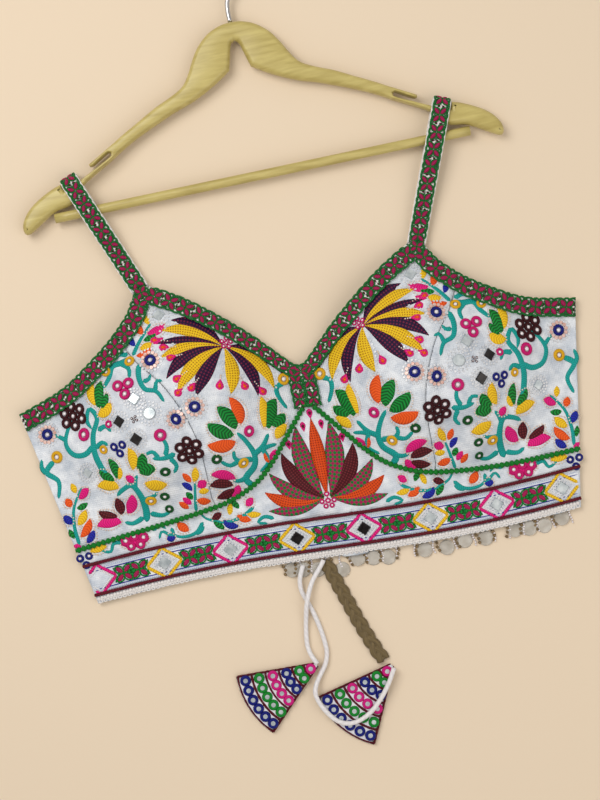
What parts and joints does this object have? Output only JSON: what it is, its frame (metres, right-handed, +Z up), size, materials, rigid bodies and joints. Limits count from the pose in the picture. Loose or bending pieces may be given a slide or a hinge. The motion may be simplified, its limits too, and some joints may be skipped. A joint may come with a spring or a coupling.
{
  "type": "choli blouse laid flat on a wooden clothes hanger",
  "caption": "Embroidered choli blouse with padded cups, strappy shoulders and tasselled ties, laid flat with its straps over a wooden hanger.",
  "frame": {"origin": "middle of the box on the surface that the blouse lies on, leaving out the ties, plait and tassels", "axes": "+X to the right as the front is seen, +Y from the hem to the neck and the hook, +Z up from the surface, out of the front"},
  "size_m": [0.4676, 0.6832, 0.0467],
  "materials": {
    "cotton": "matte",
    "braid": "matte",
    "green_cord": "satin",
    "maroon_cord": "satin",
    "picot": "matte",
    "thread": "satin",
    "mirror": "polished",
    "sequin": "polished",
    "fringe": "satin",
    "satin_cord": "satin",
    "plait": "matte",
    "tassel_cloth": "matte",
    "wood": "satin",
    "steel": "satin"
  },
  "bodies": {
    "root": {"cup_inner_left": "cotton", "cup_inner_right": "cotton", "cup_outer_left": "cotton", "cup_outer_right": "cotton", "midriff": "cotton", "waistband": "cotton", "back_left": "cotton", "back_right": "cotton", "neck_border_left": "braid", "neck_border_right": "braid", "armhole_border_left": "braid", "armhole_border_right": "braid", "centre_border": "braid", "strap_left": "braid", "strap_right": "braid", "cup_cord_left": "green_cord", "cup_cord_right": "green_cord", "band_cord_top": "maroon_cord", "band_cord_bottom": "maroon_cord", "hem_edging": "picot", "hem_fringe": "fringe", "tie_left": "satin_cord", "tie_right": "satin_cord", "plait": "plait", "tassel_left": "tassel_cloth", "tassel_right": "tassel_cloth", "hanger_body": "wood", "hanger_bar": "wood", "hanger_hook": "steel"}
  },
  "joints": []
}
